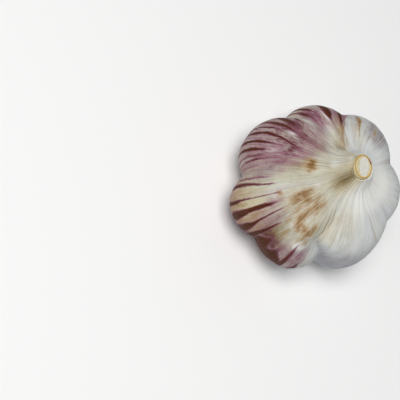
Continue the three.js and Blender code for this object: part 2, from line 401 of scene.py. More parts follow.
def collar_rise(azimuth):
    """How far the sheath's rim stands above the collar, in millimetres."""
    return (SCRAP[2] * hill(turn(SCRAP[0], azimuth), SCRAP[1])
            - NOTCH[2] * hill(turn(NOTCH[0], azimuth), NOTCH[1])
            + RIM_WAVE * np.sin(np.radians(3 * azimuth)))


def make_skin():
    """The papery skin over all the cloves, with each point's share and azimuth."""
    share, place, outward = crest_line(SKIN_ROWS + 1)
    profile = SKIN_FOOT + [tuple(p) for p in place] + SHEATH + THROAT
    skin = lathe("papery_skin", profile, SKIN_STEPS)
    rows, azimuth = rows_of(skin, profile)
    profile = np.array(profile)
    first, last = len(SKIN_FOOT), len(SKIN_FOOT) + SKIN_ROWS
    at = np.clip(rows - first, 0, SKIN_ROWS)
    along = share[at]
    outer = (rows >= first) & (rows <= last)
    depth = np.where(outer, sink(along, azimuth) - veins(along, azimuth), 0.0)
    radius = profile[rows, 0] - outward[at, 0] * depth
    height = profile[rows, 1] - outward[at, 1] * depth
    in_sheath = (rows > last) & (rows < len(profile) - len(THROAT))
    up = np.clip((rows - last) / LIP_ROWS, 0, 1) * in_sheath
    height += (collar_rise(azimuth) * np.where(outer, rise(RISE_FROM, 1, along), in_sheath)
               + up * (RAGGED[0] * ring_noise(31, 47, azimuth) + RAGGED[1] * ring_noise(32, 17, azimuth)))
    radius += np.where(in_sheath, (1 - up) * (SHEATH_PLEAT * pleats(azimuth) - SHEATH_DRAWN_IN), 0.0)
    place_round(skin, radius, height, azimuth)
    along = along + SHEATH_SHARE * np.where(in_sheath, rows - last, 0)
    line = np.radians(fibre_line(along, azimuth))
    give(skin, "grain", np.stack([np.cos(line), np.sin(line), along], axis=1))
    return skin, along, azimuth


# ---- marks on the skin ----

# purple streaks, each as rows of share, azimuth, width in degrees and strength, from the foot up
STREAKS = [
    [(0, 147, 2, 0.5), (0.5, 146, 5, 0.8), (0.66, 149, 8, 0.95), (0.75, 153, 5, 0.9), (0.81, 157, 3, 0)],
    [(0, 160, 2, 0.5), (0.55, 160, 4, 0.8), (0.66, 162.5, 6, 0.9), (0.71, 163.5, 6, 1), (0.76, 164, 3, 0)],
    [(0, 170, 1.5, 0.5), (0.58, 170.5, 2.5, 0.8), (0.66, 171.5, 1.6, 0.6), (0.76, 173, 1, 0)],
    [(0.3, 174, 1.5, 0.3), (0.58, 174.5, 2.6, 0.6), (0.68, 176.5, 2.2, 0.55), (0.78, 180, 2, 0.3),
     (0.82, 186, 2, 0)],
    [(0, 184, 2, 0.6), (0.5, 184, 4, 0.8), (0.6, 187, 4, 0.8), (0.66, 191, 3.5, 0.7), (0.73, 195, 3, 0)],
    [(0, 191, 2, 0.5), (0.5, 193, 3.5, 0.9), (0.62, 197, 5, 0.9), (0.69, 200, 5, 0.7), (0.75, 203, 3, 0)],
    [(0, 199, 1.5, 0.4), (0.5, 201, 2, 0.8), (0.6, 204, 2.8, 1), (0.68, 205.5, 2.6, 1), (0.75, 207, 1, 0)],
    [(0, 205, 1, 0.4), (0.5, 206.5, 1.5, 0.7), (0.6, 208, 1.6, 0.75), (0.7, 210, 1, 0)],
    [(0, 209, 2, 0.5), (0.45, 210.5, 2.0, 0.9), (0.58, 212, 2.1, 1), (0.67, 215, 2.1, 0.82),
     (0.74, 219, 2.2, 0.65), (0.8, 222.5, 1.5, 0)],
    [(0, 214.5, 1.5, 0.5), (0.42, 216.5, 2, 0.8), (0.52, 218, 2.1, 0.95), (0.62, 220.5, 1.6, 0.8),
     (0.7, 221.5, 1, 0)],
    [(0, 220, 1.5, 0.5), (0.38, 221.5, 1.8, 0.8), (0.5, 223, 2, 0.95), (0.58, 224.5, 1.5, 0.8),
     (0.66, 226, 1, 0)],
    [(0, 225, 1.5, 0.5), (0.4, 226.5, 1.4, 0.5), (0.55, 227.5, 1.4, 0.6), (0.67, 229, 1, 0)],
    [(0, 229, 1.2, 0.3), (0.4, 230, 1.2, 0.35), (0.53, 230, 1.6, 0.7), (0.6, 230.5, 1.2, 0.3),
     (0.66, 231, 1, 0)],
    [(0.2, 233, 1.2, 0.2), (0.5, 234, 1.3, 0.4), (0.6, 235, 1, 0)],
    [(0.2, 241, 2, 0.3), (0.45, 243.8, 2.4, 0.4), (0.6, 247, 2.2, 0.4), (0.7, 249.5, 1.6, 0)],
    [(0, 245, 2, 0.4), (0.42, 247.5, 2.5, 0.72), (0.55, 250.5, 2.1, 0.66), (0.65, 254, 1.9, 0.42),
     (0.7, 255, 1, 0)],
    [(0, 255.5, 2, 0.5), (0.38, 257.5, 2.4, 1), (0.46, 258.1, 1.9, 0.72), (0.54, 259.3, 1.7, 0.42),
     (0.67, 261.5, 1.6, 0.3), (0.71, 262, 1.5, 0)],
    [(0, 263, 3, 0.6), (0.36, 266, 5.6, 1), (0.5, 266.5, 3.6, 1), (0.61, 267.3, 2.8, 0.9),
     (0.67, 268, 1.6, 0)],
    [(0, 271, 3, 0.6), (0.36, 274.5, 5.6, 1), (0.47, 274.5, 3.2, 1), (0.54, 274, 1.9, 0.65),
     (0.65, 274, 1.7, 0.4), (0.7, 274, 1.6, 0)],
    [(0, 278.5, 2, 0.6), (0.38, 281.5, 4.8, 1), (0.5, 282, 3, 0.95), (0.58, 282.5, 1.6, 0.5),
     (0.63, 283, 1, 0)],
    # the next two rows are partly real streaks and partly painted shade: their wide dark blocks low on the
    # flank (azimuth 289, 299) darken it as shade does
    [(0, 286, 3, 0.5), (0.2, 287, 4.5, 0.85), (0.3, 288, 8, 1), (0.36, 289, 14, 1), (0.42, 289, 13, 1),
     (0.45, 289.5, 7.5, 0.9), (0.49, 290, 3.5, 0.75), (0.55, 290.5, 2, 0)],
    [(0, 297, 3, 0.5), (0.2, 298.5, 4.5, 0.85), (0.3, 299, 9, 1), (0.36, 299, 17, 1), (0.42, 300, 15, 1),
     (0.45, 299.5, 8, 0.85), (0.49, 298, 4, 0.6), (0.55, 296.5, 2, 0)],
    [(0, 306, 3, 0.6), (0.36, 310, 4, 1), (0.44, 307.8, 2.9, 1), (0.5, 306, 2.1, 0.9),
     (0.56, 304.3, 1.8, 0.55), (0.63, 302.5, 1.6, 0)],
    [(0, 314, 3, 0.5), (0.4, 316, 4, 0.8), (0.47, 315, 3, 0.6), (0.53, 313, 3, 0)],
]
# soft patches, each a row of azimuth, share, half width in degrees, half height as a share, and strength
# purple between the streaks
FLUSHES = [
    (113, 0.73, 16, 0.1, 0.6), (141, 0.62, 8, 0.08, 0.9), (150, 0.7, 9, 0.11, 0.9),
    (160, 0.73, 12, 0.08, 0.7), (168, 0.66, 22, 0.14, 0.5), (173, 0.71, 4, 0.09, 0.6),
    (174, 0.66, 6, 0.14, 0.5), (177, 0.69, 5, 0.07, 0.45), (190, 0.79, 12, 0.05, 0.4),
    (203, 0.84, 12, 0.04, 0.15), (204, 0.73, 15, 0.13, 0.42), (207, 0.62, 28, 0.26, 0.8),
    (222, 0.5, 18, 0.22, 0.3), (222, 0.76, 10, 0.08, 0.75), (228, 0.7, 5, 0.14, 0.4),
    (230, 0.15, 100, 0.3, 0.4), (237, 0.64, 10, 0.14, 0.45), (238, 0.58, 10, 0.2, 0.35),
    (246, 0.62, 5, 0.1, 0.35), (262, 0.4, 26, 0.2, 0.15), (267, 0.65, 5, 0.05, 0.75),
    # the wide low patches at azimuth 272 and 300 are partly the skin's own purple and partly painted shade
    # of the lower flank
    (270.5, 0.55, 3.5, 0.08, 0.6), (272, 0.3, 38, 0.14, 0.6), (277, 0.54, 6, 0.14, 0.6),
    (277.5, 0.57, 3.5, 0.1, 0.7), (300, 0.42, 20, 0.16, 0.6), (300, 0.51, 7, 0.08, 0.35),
    (311, 0.53, 10, 0.08, 0.75), (335, 0.55, 8, 0.1, 0.5), (350, 0.58, 18, 0.18, 0.45),
]
# deeper, freckled purple
PLUMS = [
    (153, 0.745, 7, 0.05, 0.55), (173, 0.7, 4, 0.07, 0.35), (176, 0.64, 5, 0.04, 0.4),
    (187, 0.68, 6, 0.06, 0.3), (190, 0.785, 9, 0.03, 0.3), (198.5, 0.68, 4, 0.022, 0.85),
    (199, 0.695, 9, 0.04, 0.75), (203, 0.65, 6, 0.06, 0.4), (203, 0.74, 12, 0.04, 0.2),
    (206, 0.785, 9, 0.045, 0.45), (208, 0.635, 5, 0.05, 0.35), (211, 0.69, 13, 0.06, 0.36),
    (216, 0.64, 5, 0.06, 0.3), (216.5, 0.668, 2, 0.016, 0.8), (219, 0.708, 2.2, 0.015, 0.8),
    (220, 0.74, 10, 0.05, 0.65), (222, 0.728, 2.5, 0.018, 0.9), (225, 0.735, 2, 0.014, 0.8),
    # the purple at azimuth 286–294 near share 0.5 is partly painted shade in the groove there
    (233, 0.7, 8, 0.06, 0.3), (286, 0.52, 6, 0.03, 0.6), (287, 0.48, 8, 0.035, 0.9),
    (290, 0.51, 6, 0.035, 0.75), (294, 0.455, 4, 0.035, 0.9), (299, 0.46, 8, 0.04, 0.3),
    (311, 0.5, 6, 0.05, 0.4),
]
# dry brown stains
STAINS = [
    (114.5, 0.73, 2.2, 0.05, 0.62), (131, 0.7, 2.6, 0.045, 0.75), (132, 0.75, 1.8, 0.09, 0.8),
    (155, 0.77, 4, 0.06, 0.6), (160, 0.83, 3, 0.03, 0.3), (160, 0.84, 10, 0.09, 0.5),
    (171, 0.905, 7, 0.03, 0.4), (235, 0.84, 5, 0.014, 0.95), (238, 0.835, 11, 0.04, 0.75),
    # the wide low patch at azimuth 264 is partly the skin's own brown and partly painted shade of the lower
    # flank
    (244, 0.815, 6, 0.03, 0.4), (262, 0.68, 2.4, 0.016, 0.8), (264, 0.4, 24, 0.13, 0.5),
    (270, 0.53, 3, 0.06, 0.35), (270.5, 0.745, 5, 0.04, 0.5), (271, 0.79, 6, 0.055, 0.6),
    (276, 0.74, 5, 0.055, 0.35), (277, 0.5, 4, 0.05, 0.35), (282, 0.74, 22, 0.13, 0.4),
    (284, 0.79, 7, 0.05, 0.4), (289, 0.71, 4, 0.05, 0.6), (292, 0.59, 4, 0.04, 0.35),
    (293, 0.8, 7, 0.05, 0.5), (296, 0.68, 6, 0.03, 0.6), (300, 0.62, 1.5, 0.06, 0.5),
    (303, 0.7, 4, 0.05, 0.75), (306, 0.63, 3, 0.025, 0.6),
]
# a dull olive wash: partly the skin's own dull patches, partly painted shade in the fold beside the neck
# (azimuth 282–286 at the collar), in the groove low on the flank (286–293) and at the lower right (337)
VEILS_AND_SHADE = [
    (114, 0.73, 16, 0.1, 0.4), (138, 0.72, 8, 0.1, 0.25), (165, 0.87, 12, 0.07, 0.45),
    (180, 0.925, 9, 0.025, 0.6), (185, 0.9, 18, 0.03, 0.4), (205, 0.79, 16, 0.06, 0.3),
    (207, 0.85, 14, 0.045, 0.55), (231, 0.82, 12, 0.05, 0.4), (238, 0.78, 10, 0.08, 0.4),
    (238, 0.92, 20, 0.05, 0.35), (250, 0.75, 14, 0.15, 0.3), (255, 0.5, 9, 0.15, 0.25),
    (282, 0.93, 14, 0.04, 0.3), (284, 0.985, 22, 0.085, 0.75), (286, 1.04, 40, 0.03, 0.4),
    (286.5, 0.51, 8, 0.07, 1), (288, 0.61, 14, 0.12, 0.5), (293, 0.51, 8, 0.05, 0.8),
    (320, 0.85, 14, 0.12, 0.25), (337, 0.7, 16, 0.12, 0.22),
]
# cool violet grey: partly the skin's own faint tinge, partly painted shade in the grooves and along the
# lower and right edges
LILAC_SHADES = [
    (84, 0.65, 34, 0.11, 0.55), (115, 0.72, 18, 0.09, 0.6), (133, 0.64, 8, 0.08, 0.3),
    (240, 0.62, 5, 0.12, 0.35), (335, 0.7, 20, 0.14, 0.2), (338, 0.43, 8, 0.06, 0.3),
    (345, 0.58, 7, 0.06, 0.2), (350, 0.42, 34, 0.17, 0.75), (354, 0.6, 10, 0.14, 0.3),
]
# straw yellow
STRAWS = [
    (83, 0.78, 5, 0.1, 0.3), (132, 0.8, 16, 0.14, 0.4), (172, 0.9, 16, 0.05, 0.5),
    (203, 0.985, 38, 0.05, 0.65), (265, 0.42, 28, 0.2, 0.85), (275, 1.04, 70, 0.04, 0.9),
    (290, 0.98, 60, 0.1, 0.75), (318, 0.7, 9, 0.12, 0.35), (332, 0.8, 24, 0.13, 0.45),
    (335, 0.98, 26, 0.04, 0.6),
]
# paler patches of skin, and painted light: painted highlights on the purple cloves, and painted light near
# the collar and beside two grooves (azimuth 321, 347) where shade falls
PALES_AND_GLINTS = [
    (10, 0.98, 50, 0.06, 0.7), (30, 0.9, 70, 0.09, 0.85), (52, 0.82, 26, 0.1, 0.6),
    (167.5, 0.72, 2, 0.07, 0.6), (173, 0.8, 4, 0.05, 0.45), (183, 0.665, 5, 0.06, 0.35),
    (186, 0.7, 5, 0.08, 0.45), (192, 0.775, 3.5, 0.04, 0.35), (205, 0.965, 38, 0.05, 0.4),
    (209, 0.7, 1.5, 0.04, 0.45), (210.5, 0.71, 4, 0.03, 0.3), (213, 0.75, 3, 0.03, 0.25),
    (221.5, 0.715, 4, 0.02, 0.3), (222, 1.01, 22, 0.025, 0.3), (226, 0.64, 1.8, 0.05, 0.45),
    (232, 0.94, 16, 0.035, 0.4), (263, 0.66, 5, 0.03, 0.4), (268, 0.845, 6, 0.02, 0.5),
    (289, 0.665, 4, 0.03, 0.55), (302, 0.605, 4.5, 0.03, 0.75), (306, 0.61, 5, 0.035, 0.5),
    (320, 0.78, 8, 0.08, 0.12), (321, 0.64, 4, 0.05, 0.3), (347, 0.67, 7, 0.08, 0.4),
]
# thin creases along the outer leaf's folded edge and on the right, partly their own olive line and partly
# painted shade, in the same rows as STREAKS
CREASE_SHADES = [
    [(0.62, 313, 1.5, 0), (0.67, 314, 1.6, 0.9), (0.72, 314.5, 1.6, 0.9), (0.76, 312.3, 1.6, 0.9),
     (0.81, 308.5, 1.6, 0.8), (0.86, 304.5, 1.5, 0)],
    [(0.7, 315, 1.5, 0), (0.755, 316, 1.6, 0.6), (0.785, 316.3, 1.6, 0.7), (0.825, 313.5, 1.6, 0.6),
     (0.87, 309, 1.5, 0)],
    [(0.6, 11.5, 2, 0), (0.66, 9.5, 2.2, 0.4), (0.74, 6.5, 2.3, 0.4), (0.81, 4.5, 2.2, 0.3),
     (0.87, 3, 2, 0)],
    [(0.4, 306, 1.2, 0), (0.5, 303.6, 1.3, 0.5), (0.6, 302, 1, 0)],
]


# the streaks on the side that the outer leaf doesn't cover
HIDDEN_STREAKS = 18
HIDDEN_FROM = 324                # azimuth of the first
HIDDEN_STEP = 10.2               # degrees to the next
# strokes draw their sway and their uneven width from these seeds onwards
SWAY_SEED, WIDTH_SEED = 300, 400
LEAF_SHADE = 1.2                 # degrees each side of the outer leaf's first edge that its colour takes


def stroke_mask(strokes, share, azimuth, wander=0.5):
    """The strongest stroke at each place."""
    mask = np.zeros(len(share))
    for number, stroke in enumerate(strokes):
        shares, azimuths, widths, strengths = np.array(stroke, float).T
        wide = np.interp(share, shares, widths)
        sway = wander * rise(0.5, 3.0, wide) * ring_noise(SWAY_SEED + number, 12, share * 360)
        line = np.interp(share, shares, azimuths) + sway
        half = wide * (0.5 + 0.12 * ring_noise(WIDTH_SEED + number, 16, share * 360))
        strength = np.interp(share, shares, strengths) * (share >= shares[0])
        away = np.abs(turn(line, azimuth)) / half
        mask = np.maximum(mask, strength * (1 - rise(0.35, 1.45, away)))
    return mask


def patch_mask(patches, share, azimuth):
    """All the soft patches laid over each other."""
    clear = np.ones(len(share))
    for at, middle, wide, high, strength in patches:
        away = np.hypot(turn(at, azimuth) / wide, (share - middle) / high)
        clear *= 1 - strength * (1 - rise(0.1, 1.6, away))
    return 1 - clear


def hidden_streaks():
    """Paler streaks low on the side that the outer leaf doesn't cover."""
    draw = np.random.default_rng(5)
    streaks = []
    for number in range(HIDDEN_STREAKS):
        azimuth = HIDDEN_FROM + number * HIDDEN_STEP + draw.uniform(-4, 4)
        lean, top = draw.uniform(-3, 3), draw.uniform(0.2, 0.5)
        width, strength = draw.uniform(1.2, 3.0), draw.uniform(0.2, 0.7)
        streaks.append([(0, azimuth, width, strength * 0.7),
                        (top * 0.6, azimuth + lean / 2, width, strength),
                        (top, azimuth + lean, width / 2, 0)])
    return streaks


def paint_marks(skin, share, azimuth):
    """Stores every mark on the skin's points, from 0 to 1, for the finish to colour."""
    first, second = leaf_edges(share, azimuth)
    inside = rise(-LEAF_SHADE, LEAF_SHADE, first)
    under = 1 - inside * rise(-3, 3, second)
    give(skin, "leaf", inside * rise(-16, 12, second))
    give(skin, "streak", np.maximum(stroke_mask(STREAKS, share, azimuth) * inside,
                                    stroke_mask(hidden_streaks(), share, azimuth) * under))
    give(skin, "flush", patch_mask(FLUSHES, share, azimuth) * np.maximum(1 - under, 0.3))
    # several of these patch lists are partly painted shade and painted highlights, as their comments say
    for name, patches in (("plum", PLUMS), ("stain", STAINS), ("veil_and_shade", VEILS_AND_SHADE), ("lilac_shade", LILAC_SHADES),
                          ("straw", STRAWS), ("pale", PALES_AND_GLINTS)):
        give(skin, name, patch_mask(patches, share, azimuth))
    # creases: partly painted shade
    give(skin, "crease_shade", stroke_mask(CREASE_SHADES, share, azimuth, 0.2))


# ---- shader helpers ----

def tint(red, green, blue):
    """A colour as seen on a screen, 0 to 255, as Blender's linear colour."""
    linear = [c / 255 / 12.92 if c <= 10 else ((c / 255 + 0.055) / 1.055) ** 2.4
              for c in (red, green, blue)]
    return (*linear, 1.0)


class Value:
    """A shader socket. Sums written with it add Math nodes."""

    def __init__(self, finish, socket):
        self.finish, self.socket = finish, socket

    def _sum(self, operation, first, second):
        return self.finish.add("ShaderNodeMath", {"operation": operation}, {0: first, 1: second})

    def __add__(self, other):
        return self._sum("ADD", self, other)

    def __radd__(self, other):
        return self._sum("ADD", other, self)

    def __sub__(self, other):
        return self._sum("SUBTRACT", self, other)

    def __rsub__(self, other):
        return self._sum("SUBTRACT", other, self)

    def __mul__(self, other):
        return self._sum("MULTIPLY", self, other)

    def __rmul__(self, other):
        return self._sum("MULTIPLY", other, self)


class Finish:
    """A node material with one Principled shader."""

    def __init__(self, name, roughness, **constants):
        self.material = bpy.data.materials.new(name)
        self.material.use_nodes = True
        self.tree = self.material.node_tree
        self.shader = self.tree.nodes["Principled BSDF"]
        self.shader.inputs["Roughness"].default_value = roughness
        for socket, value in constants.items():
            self.shader.inputs[socket.replace("_", " ")].default_value = value

    def add(self, kind, settings=None, sockets=None, out=0):
        """Any node, with its settings, what goes into its sockets, and the socket that it gives."""
        node = self.tree.nodes.new(kind)
        for name, value in (settings or {}).items():
            setattr(node, name, value)
        for name, value in (sockets or {}).items():
            self.feed(node.inputs[name], value)
        return Value(self, node.outputs[out])

    def feed(self, socket, value):
        """Links a Value to a socket, or sets the socket to a constant."""
        if isinstance(value, Value):
            self.tree.links.new(value.socket, socket)
        else:
            socket.default_value = value

    def attribute(self, name, out="Fac"):
        """What is stored on the piece's points under this name."""
        return self.add("ShaderNodeAttribute", {"attribute_name": name}, out=out)

    def noise(self, place, scale, detail=3.0, roughness=0.55):
        """Noise, mostly from -1 to 1, on a place stretched by one number along each axis."""
        stretched = self.add("ShaderNodeVectorMath", {"operation": "MULTIPLY"}, {0: place, 1: scale})
        noise = self.add("ShaderNodeTexNoise", None,
                         {"Vector": stretched, "Scale": 1.0, "Detail": detail, "Roughness": roughness})
        return (noise - 0.5) * 5.0

    def ease(self, value, low, high, start=0.0, end=1.0):
        """start below low, end above high and smooth between them."""
        return self.add("ShaderNodeMapRange", {"interpolation_type": "SMOOTHSTEP"},
                        {"Value": value, "From Min": low, "From Max": high, "To Min": start, "To Max": end})

    def blend(self, mask, under, over):
        """The colour under where the mask is 0, and the colour over where it is 1."""
        return self.add("ShaderNodeMix", {"data_type": "RGBA"}, {0: mask, 6: under, 7: over}, out=2)

    def fray(self, mask, texture, reach=0.2):
        """A mask made uneven by a texture, except where there is none of it."""
        return mask + texture * self.ease(mask, 0.0, reach)

    def use(self, colour, roughness=None, height=None, relief=0.1 * MM):
        """Gives the shader its colour, and the rest where it varies, and returns the material."""
        self.feed(self.shader.inputs["Base Color"], colour)
        if roughness is not None:
            self.feed(self.shader.inputs["Roughness"], roughness)
        if height is not None:
            bump = self.add("ShaderNodeBump", None, {"Height": height, "Strength": 1.0, "Distance": relief})
            self.feed(self.shader.inputs["Normal"], bump)
        return self.material


# ---- finishes ----

COOL_WHITE = tint(216, 220, 219)
CREAM = tint(201, 198, 178)
# paler skin, and the colour of painted highlights and painted light
PAPER_AND_GLINT = tint(233, 233, 228)
STRAW = tint(204, 188, 146)
LILAC_WHITE = tint(200, 196, 206)
# the colour of painted shade in the grooves and along the lower and right edges
LILAC_SHADE_GREY = tint(138, 136, 148)
DULL_CREAM = tint(196, 194, 170)
FIBRE = tint(150, 143, 116)
# the colour of the creases, partly painted shade
CREASE_SHADE = tint(150, 134, 86)
MAUVE = tint(140, 86, 108)
PLUM = tint(100, 54, 56)
DARK_BROWN = tint(76, 34, 6)
RUSSET = tint(122, 66, 50)
TAN = tint(174, 144, 104)
BROWN = tint(120, 82, 44)
# also the colour of painted shade in the fold beside the neck and in a low groove
OLIVE = tint(124, 102, 58)

PITH_WHITE, PITH_GREY, PITH_CREAM = tint(232, 231, 224), tint(216, 212, 198), tint(214, 202, 162)
RIND, SCORCHED, STALK_SIDE = tint(202, 163, 88), tint(140, 84, 24), tint(214, 202, 168)

CORK_LIGHT, CORK_DARK = tint(172, 146, 108), tint(120, 94, 64)
STUB_LIGHT, STUB_DARK = tint(206, 188, 150), tint(160, 130, 92)
DUST = tint(98, 78, 56)
FLOOR_WHITE = tint(249, 249, 249)


def skin_finish():
    """Papery skin, built up from its ground colours to the darkest streaks."""
    f = Finish("garlic_skin", 0.5, Subsurface_Weight=0.05, Subsurface_Radius=(0.9, 0.6, 0.45),
               Subsurface_Scale=1.0 * MM, Specular_IOR_Level=0.08)
    grain = f.attribute("grain", "Vector")
    fibre = f.noise(grain, (40, 40, 6), 4)
    hair = f.noise(grain, (95, 95, 10), 3)
    band = f.noise(grain, (15, 15, 2.0), 3)
    blot = f.noise(grain, (12, 12, 26), 4)
    freckle = f.noise(grain, (34, 34, 60), 3)
    cloud = f.noise(grain, (4, 4, 6), 3)

    leaf, flush, plum, stain, veil_and_shade, lilac_shade, straw, pale, streak, crease_shade = (f.attribute(name) for name in (
        "leaf", "flush", "plum", "stain", "veil_and_shade", "lilac_shade", "straw", "pale", "streak", "crease_shade"))
    quiet = 0.22 + 0.78 * leaf
    colour = f.blend(f.ease(leaf + cloud * 0.35 + band * 0.25, 0.0, 1.2), COOL_WHITE, CREAM)
    colour = f.blend(f.ease(band, 0.0, 0.9, 0.0, 0.5), colour, LILAC_WHITE)
    colour = f.blend(f.ease(band + cloud * 0.5, -0.2, -1.2, 0.0, 0.45), colour, DULL_CREAM)
    colour = f.blend(f.ease(fibre + hair * 0.5 + band * 0.3, 0.0, 1.5, 0.0, 0.5) * quiet, colour, FIBRE)
    colour = f.blend(f.ease(freckle * 0.6 + blot * 0.5, 0.2, 1.6, 0.0, 0.3), colour, FIBRE)

    colour = f.blend(f.ease(straw + fibre * 0.1 + band * 0.1, 0.0, 1.0, 0.0, 0.8), colour, STRAW)
    # painted shade: a cool grey in the grooves and along the lower and right edges, over the skin's own
    # faint tinge
    lilac_shade = f.fray(lilac_shade, fibre * 0.06 + band * 0.1 + blot * 0.1)
    colour = f.blend(f.ease(lilac_shade, 0.0, 1.0, 0.0, 0.75), colour, LILAC_SHADE_GREY)
    # painted shade in the fold beside the neck and in a low groove, with the skin's own dull olive patches
    veil_and_shade = f.fray(veil_and_shade, fibre * 0.14 + band * 0.08 + blot * 0.1)
    colour = f.blend(f.ease(veil_and_shade, 0.05, 1.0, 0.0, 0.9), colour, OLIVE)
    streaky = band * 0.45 + fibre * 0.3 + hair * 0.2 + blot * 0.25 + freckle * 0.2
    colour = f.blend(f.ease(flush, 0.0, 0.9) * f.ease(streaky, -0.7, 0.6, 0.45, 0.95), colour, MAUVE)
    plum = plum * (1 + 0.45 * freckle + 0.4 * hair + 0.45 * blot)
    colour = f.blend(f.ease(plum, 0.1, 1.0, 0.0, 0.9), colour, PLUM)
    # paler skin, painted highlights, and painted light near the collar where shade falls
    colour = f.blend(f.ease(pale + fibre * 0.12 + blot * 0.08, 0.1, 0.9), colour, PAPER_AND_GLINT)
    stain = f.fray(stain, blot * 0.19 + freckle * 0.15 + fibre * 0.16, 0.3)
    colour = f.blend(f.ease(stain, 0.05, 0.85, 0.0, 0.9), colour, TAN)
    colour = f.blend(f.ease(stain, 0.5, 1.1, 0.0, 0.85), colour, BROWN)

    streak = f.fray(streak, fibre * 0.14 + hair * 0.16 + freckle * 0.07, 0.12)
    colour = f.blend(f.ease(streak, 0.06, 0.4, 0.0, 0.75), colour, MAUVE)
    colour = f.blend(f.ease(streak, 0.22, 0.65, 0.0, 0.95), colour, PLUM)
    threads = f.ease(hair * 0.6 + fibre * 0.5 + band * 0.3, -0.2, 1.2, 0.0, 0.6)
    colour = f.blend(f.ease(streak, 0.48, 0.85), colour, f.blend(threads, DARK_BROWN, RUSSET))
    # creases: partly their own olive line, partly painted shade
    colour = f.blend(f.ease(crease_shade, 0.0, 0.9, 0.0, 0.85), colour, CREASE_SHADE)
    roughness = f.ease(fibre + cloud * 0.5, -1.0, 1.0, 0.5, 0.65)
    return f.use(colour, roughness, (fibre * 0.5 + hair * 0.3 + band * 0.6 + blot * 0.1) * quiet)


def stalk_finish():
    """Spongy pith inside a browned rind, with stringy sides."""
    f = Finish("cut_stalk", 0.7, Subsurface_Weight=0.1, Subsurface_Radius=(0.8, 0.6, 0.4),
               Subsurface_Scale=1.5 * MM)
    place = f.add("ShaderNodeTexCoord", out="Object")
    spongy = f.noise(place, (2200, 2200, 2200), 3)
    strings = f.noise(place, (1500, 1500, 90), 3)
    cream, rind, scorch, side = (f.attribute(name) for name in ("cream", "rind", "scorch", "side"))
    colour = f.blend(f.ease(spongy, -0.8, 0.8), PITH_WHITE, PITH_GREY)
    colour = f.blend(f.ease(cream + spongy * 0.1, 0.1, 0.9), colour, PITH_CREAM)
    colour = f.blend(f.ease(rind + strings * 0.1 + spongy * 0.1, 0.3, 0.8), colour, RIND)
    colour = f.blend(f.ease(scorch + strings * 0.15, 0.3, 0.9), colour, SCORCHED)
    colour = f.blend(f.ease(side + strings * 0.2, 0.2, 1.0), colour, STALK_SIDE)
    return f.use(colour, f.ease(spongy, -1, 1, 0.6, 0.85), spongy * 0.5 + strings * 0.5)


def root_finish(name, light, dark):
    """Rough, dusty cork."""
    f = Finish(name, 0.9)
    place = f.add("ShaderNodeTexCoord", out="Object")
    cork = f.noise(place, (900, 900, 900), 5, 0.65)
    dust = f.noise(place, (250, 250, 250), 3)
    colour = f.blend(f.ease(cork, -0.7, 0.7), light, dark)
    colour = f.blend(f.ease(dust, 0.0, 1.0, 0.0, 0.6), colour, DUST)
    return f.use(colour, f.ease(cork, -1, 1, 0.8, 0.95), cork * 0.6 + dust * 0.4, 0.2 * MM)


# ---- stalk and roots ----

def make_stalk():
    """The stump of the flower stalk, cut aslant, with its pith and its rind marked on the cut."""
    edge, pith_height = STALK_RADIUS, STALK_HEIGHT - CUT_DIP
    profile = ([(0, STALK_FOOT)]
               + [(edge, height) for height in np.linspace(STALK_FOOT, STALK_HEIGHT - 0.35, STALK_ROWS)]
               + [(edge - inward, STALK_HEIGHT - down) for inward, down in STALK_RIM]
               + [(radius, pith_height) for radius in np.linspace(edge - 0.75, 0.2, CUT_ROWS)]
               + [(0, pith_height)])
    stalk = lathe("flower_stalk", profile, SMALL_TURN_STEPS)
    rows, azimuth = rows_of(stalk, profile)
    profile = np.array(profile)
    radius, height = profile[rows, 0], profile[rows, 1]
    on_cut = rows > STALK_ROWS + 1
    flute = 0.05 * (1 + np.sin(np.radians(FLUTES * azimuth))) + 0.04 * ring_noise(51, 64, azimuth)
    radius = np.clip(radius - np.where(radius > FLUTES_FROM, flute, 0), 0, None)
    up = rise(STALK_FOOT, STALK_HEIGHT - 0.3, height)
    height = height - radius * np.cos(np.radians(azimuth - STALK_FALL)) * tan(radians(STALK_SLOPE)) * up
    across = radius * np.cos(np.radians(azimuth - PITH_TURN))
    along = radius * np.sin(np.radians(azimuth - PITH_TURN))
    rough = (0.07 * ring_noise(52, 23, azimuth) * (radius / 4)
             + 0.04 * np.sin(across * 5) * np.sin(along * 4))
    height += np.where(on_cut, rough, 0)
    place_round(stalk, radius, height, azimuth)
    pith = np.hypot((across - PITH_OFFSET) / PITH_HALF[0], along / PITH_HALF[1])
    give(stalk, "rind", np.where(on_cut, rise(edge - 0.95, edge - 0.5, radius), 1.0))
    give(stalk, "cream", np.where(on_cut, rise(0.85, 1.15, pith), 0.0))
    give(stalk, "side", np.where(on_cut, 0.0, 1.0))
    scorch = np.where(on_cut, rise(edge - 1.0, edge - 0.6, radius), 0.6)
    give(stalk, "scorch", scorch * hill(turn(SCORCH[0], azimuth), SCORCH[1]))
    return stalk


